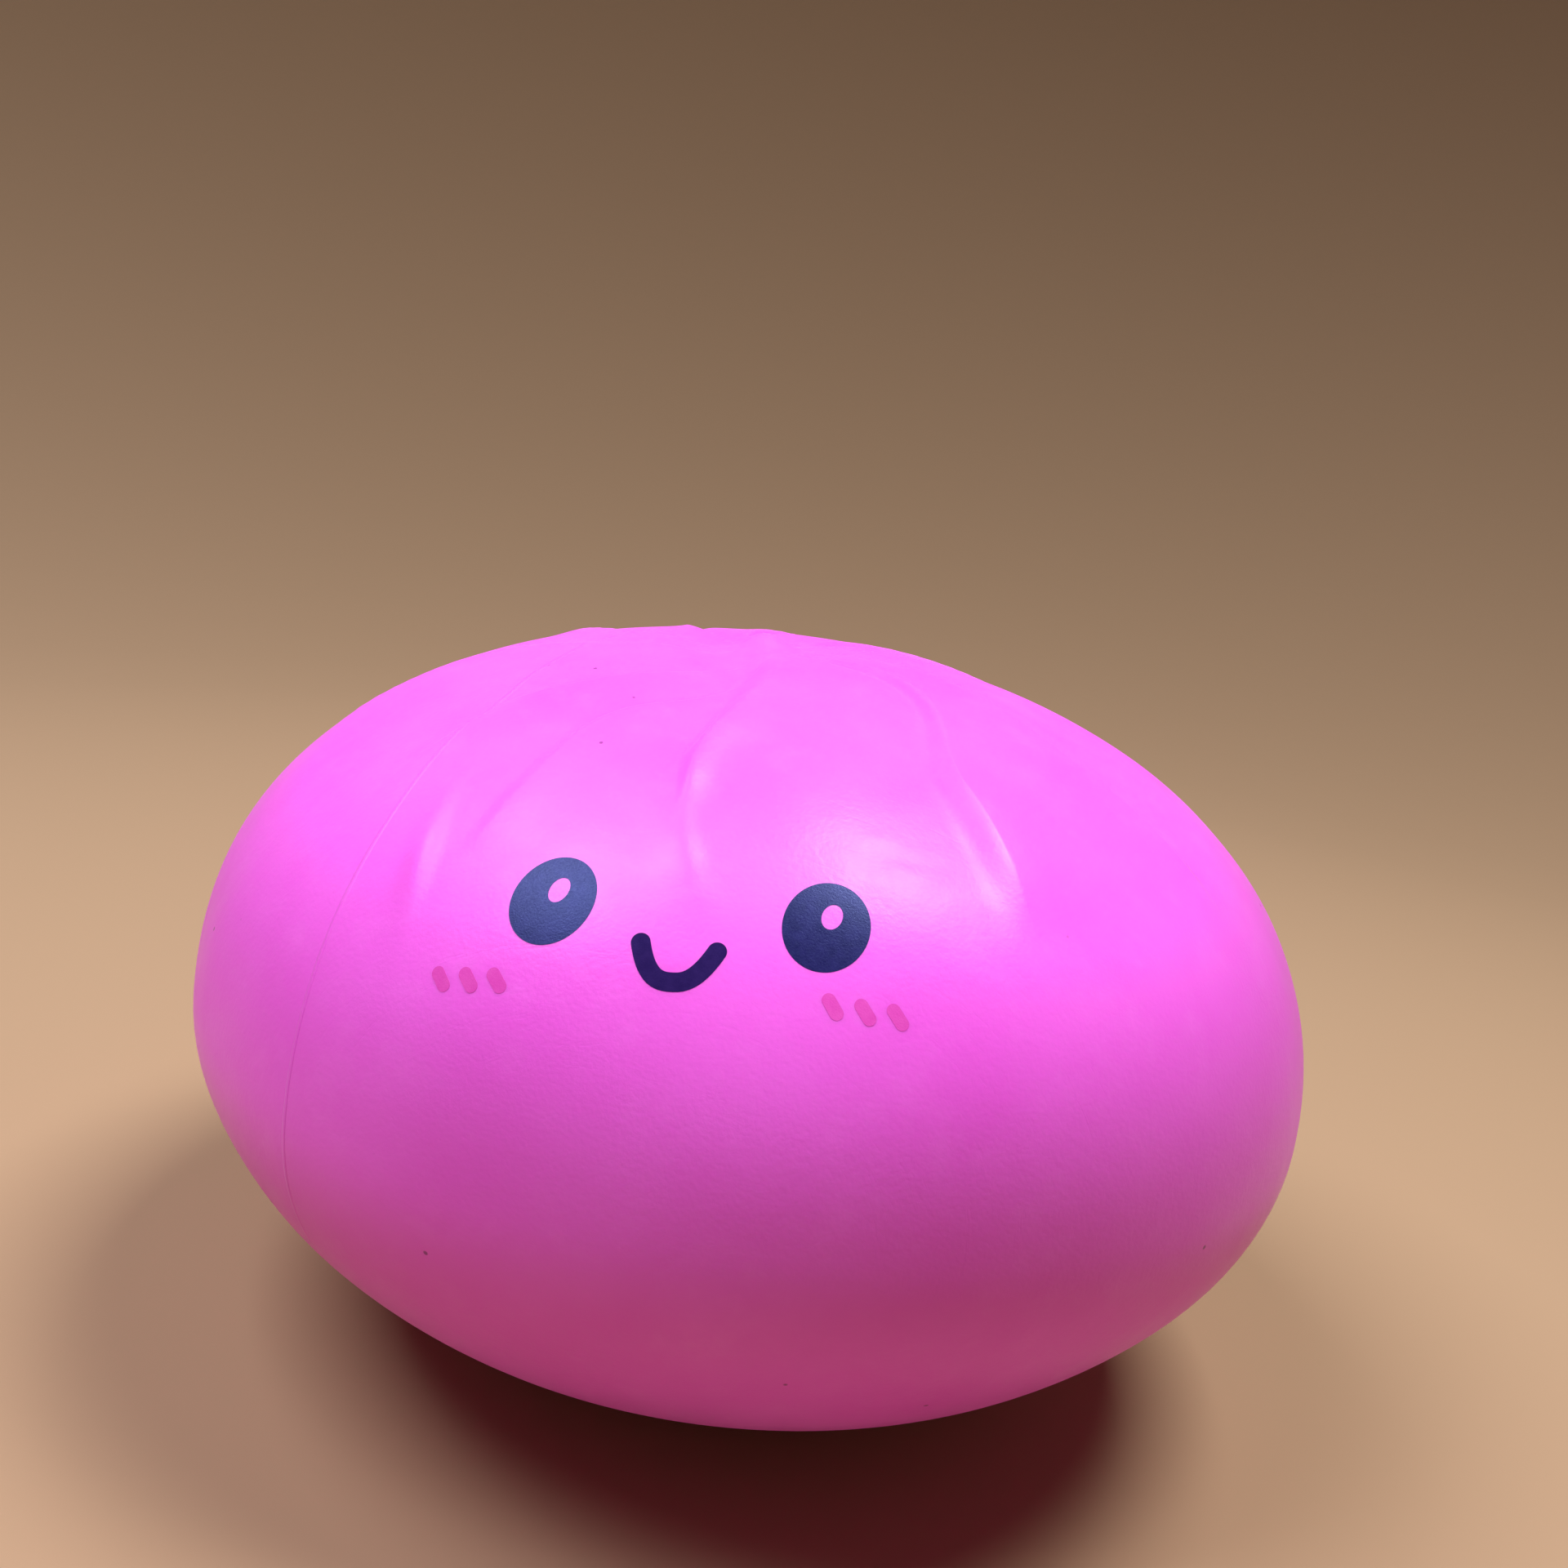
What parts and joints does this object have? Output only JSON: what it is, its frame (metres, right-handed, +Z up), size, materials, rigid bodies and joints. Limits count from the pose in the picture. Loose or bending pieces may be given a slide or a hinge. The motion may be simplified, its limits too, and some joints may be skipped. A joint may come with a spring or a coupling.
{
  "type": "squeeze ball",
  "caption": "Jumbo bun-shaped squeeze ball: soft air-filled skin with a pleated crown, a printed face, a flat foot and a push-in valve plug in its base.",
  "frame": {"origin": "centre of the flat foot, on the surface that the ball rests on", "axes": "+Z up through the crown, -Y out of the printed face, +X to the right as one looks at the face"},
  "size_m": [0.25, 0.25, 0.1632],
  "materials": {
    "skin": "soft moulded vinyl, satin, hot pink to orchid",
    "plug": "milky soft plastic, moulded",
    "eye_ink": "pad-printed ink, dark navy, satin",
    "mouth_ink": "pad-printed ink, dark violet, matte",
    "blush_ink": "pad-printed ink, deep rose, slightly sheer"
  },
  "bodies": {
    "ball": {"skin": "skin", "left_eye": "eye_ink", "right_eye": "eye_ink", "mouth": "mouth_ink", "left_blush_1": "blush_ink", "left_blush_2": "blush_ink", "left_blush_3": "blush_ink", "right_blush_1": "blush_ink", "right_blush_2": "blush_ink", "right_blush_3": "blush_ink"},
    "valve_plug": {"valve_plug": "plug"}
  },
  "joints": [
    {"name": "plug_pull", "type": "slide", "parent": "ball", "child": "valve_plug", "axis": [0, 0, -1], "range_m": [0, 0.0235]}
  ]
}
